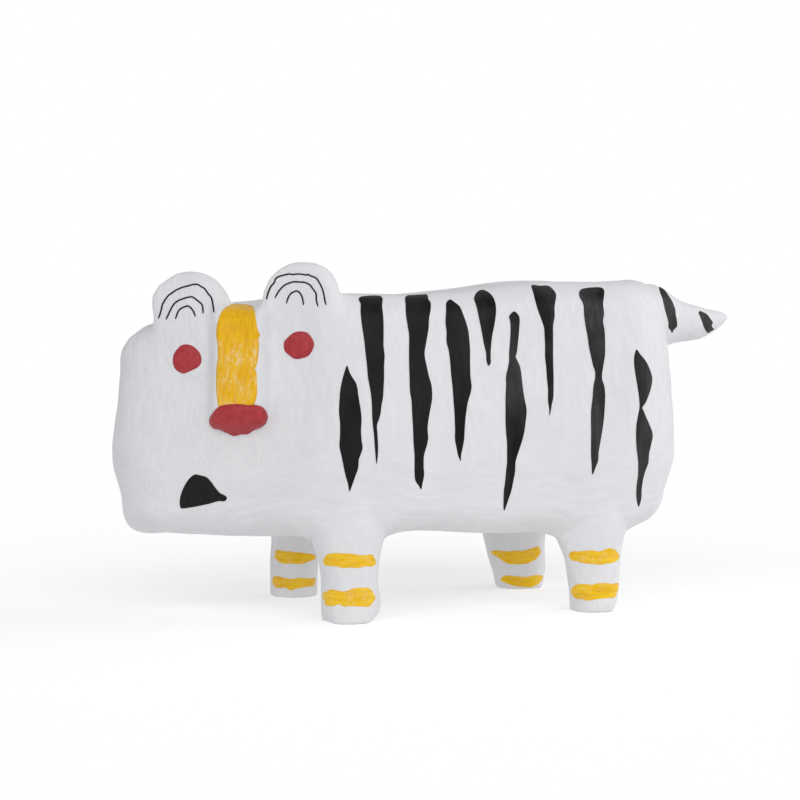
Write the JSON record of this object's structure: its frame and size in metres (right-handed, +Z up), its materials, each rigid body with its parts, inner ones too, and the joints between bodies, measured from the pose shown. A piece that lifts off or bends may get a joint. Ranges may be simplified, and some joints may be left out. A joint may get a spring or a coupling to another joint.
{
  "type": "papier-mache tiger figure",
  "caption": "Free-standing folk-art tiger of pasted paper over a newspaper core and wire frame, with round legs, half-round ears, a short tail and a raised nose and eyes; stands as decoration.",
  "frame": {"origin": "centre of the figure's box in plan, on the plane of the soles", "axes": "+X from head to tail, +Z up, +Y towards the animal's right flank; the face is turned towards -Y"},
  "size_m": [0.3, 0.1229, 0.1577],
  "materials": {
    "white_paper": "matt white paint over pasted paper",
    "newspaper": "crumpled newsprint",
    "card": "plain card",
    "wire": "galvanised",
    "yellow_paint": "satin yellow paint",
    "red_paint": "satin red paint",
    "black_paint": "satin black paint"
  },
  "bodies": {
    "root": {"body_skin": "white_paper", "head_core": "newspaper", "torso_core": "newspaper", "spine_wire": "wire", "front_leg_wire": "wire", "rear_leg_wire": "wire", "front_lashing": "wire", "rear_lashing": "wire", "front_left_leg_roll": "newspaper", "front_right_leg_roll": "newspaper", "rear_left_leg_roll": "newspaper", "rear_right_leg_roll": "newspaper", "front_left_leg_skin": "white_paper", "front_right_leg_skin": "white_paper", "rear_left_leg_skin": "white_paper", "rear_right_leg_skin": "white_paper", "front_left_sole": "white_paper", "front_right_sole": "white_paper", "rear_left_sole": "white_paper", "rear_right_sole": "white_paper", "left_ear_card": "card", "right_ear_card": "card", "left_ear_skin": "white_paper", "right_ear_skin": "white_paper", "tail_roll": "newspaper", "tail_skin": "white_paper", "nose_bridge": "yellow_paint", "nose": "red_paint", "left_eye": "red_paint", "right_eye": "red_paint"}
  },
  "joints": []
}
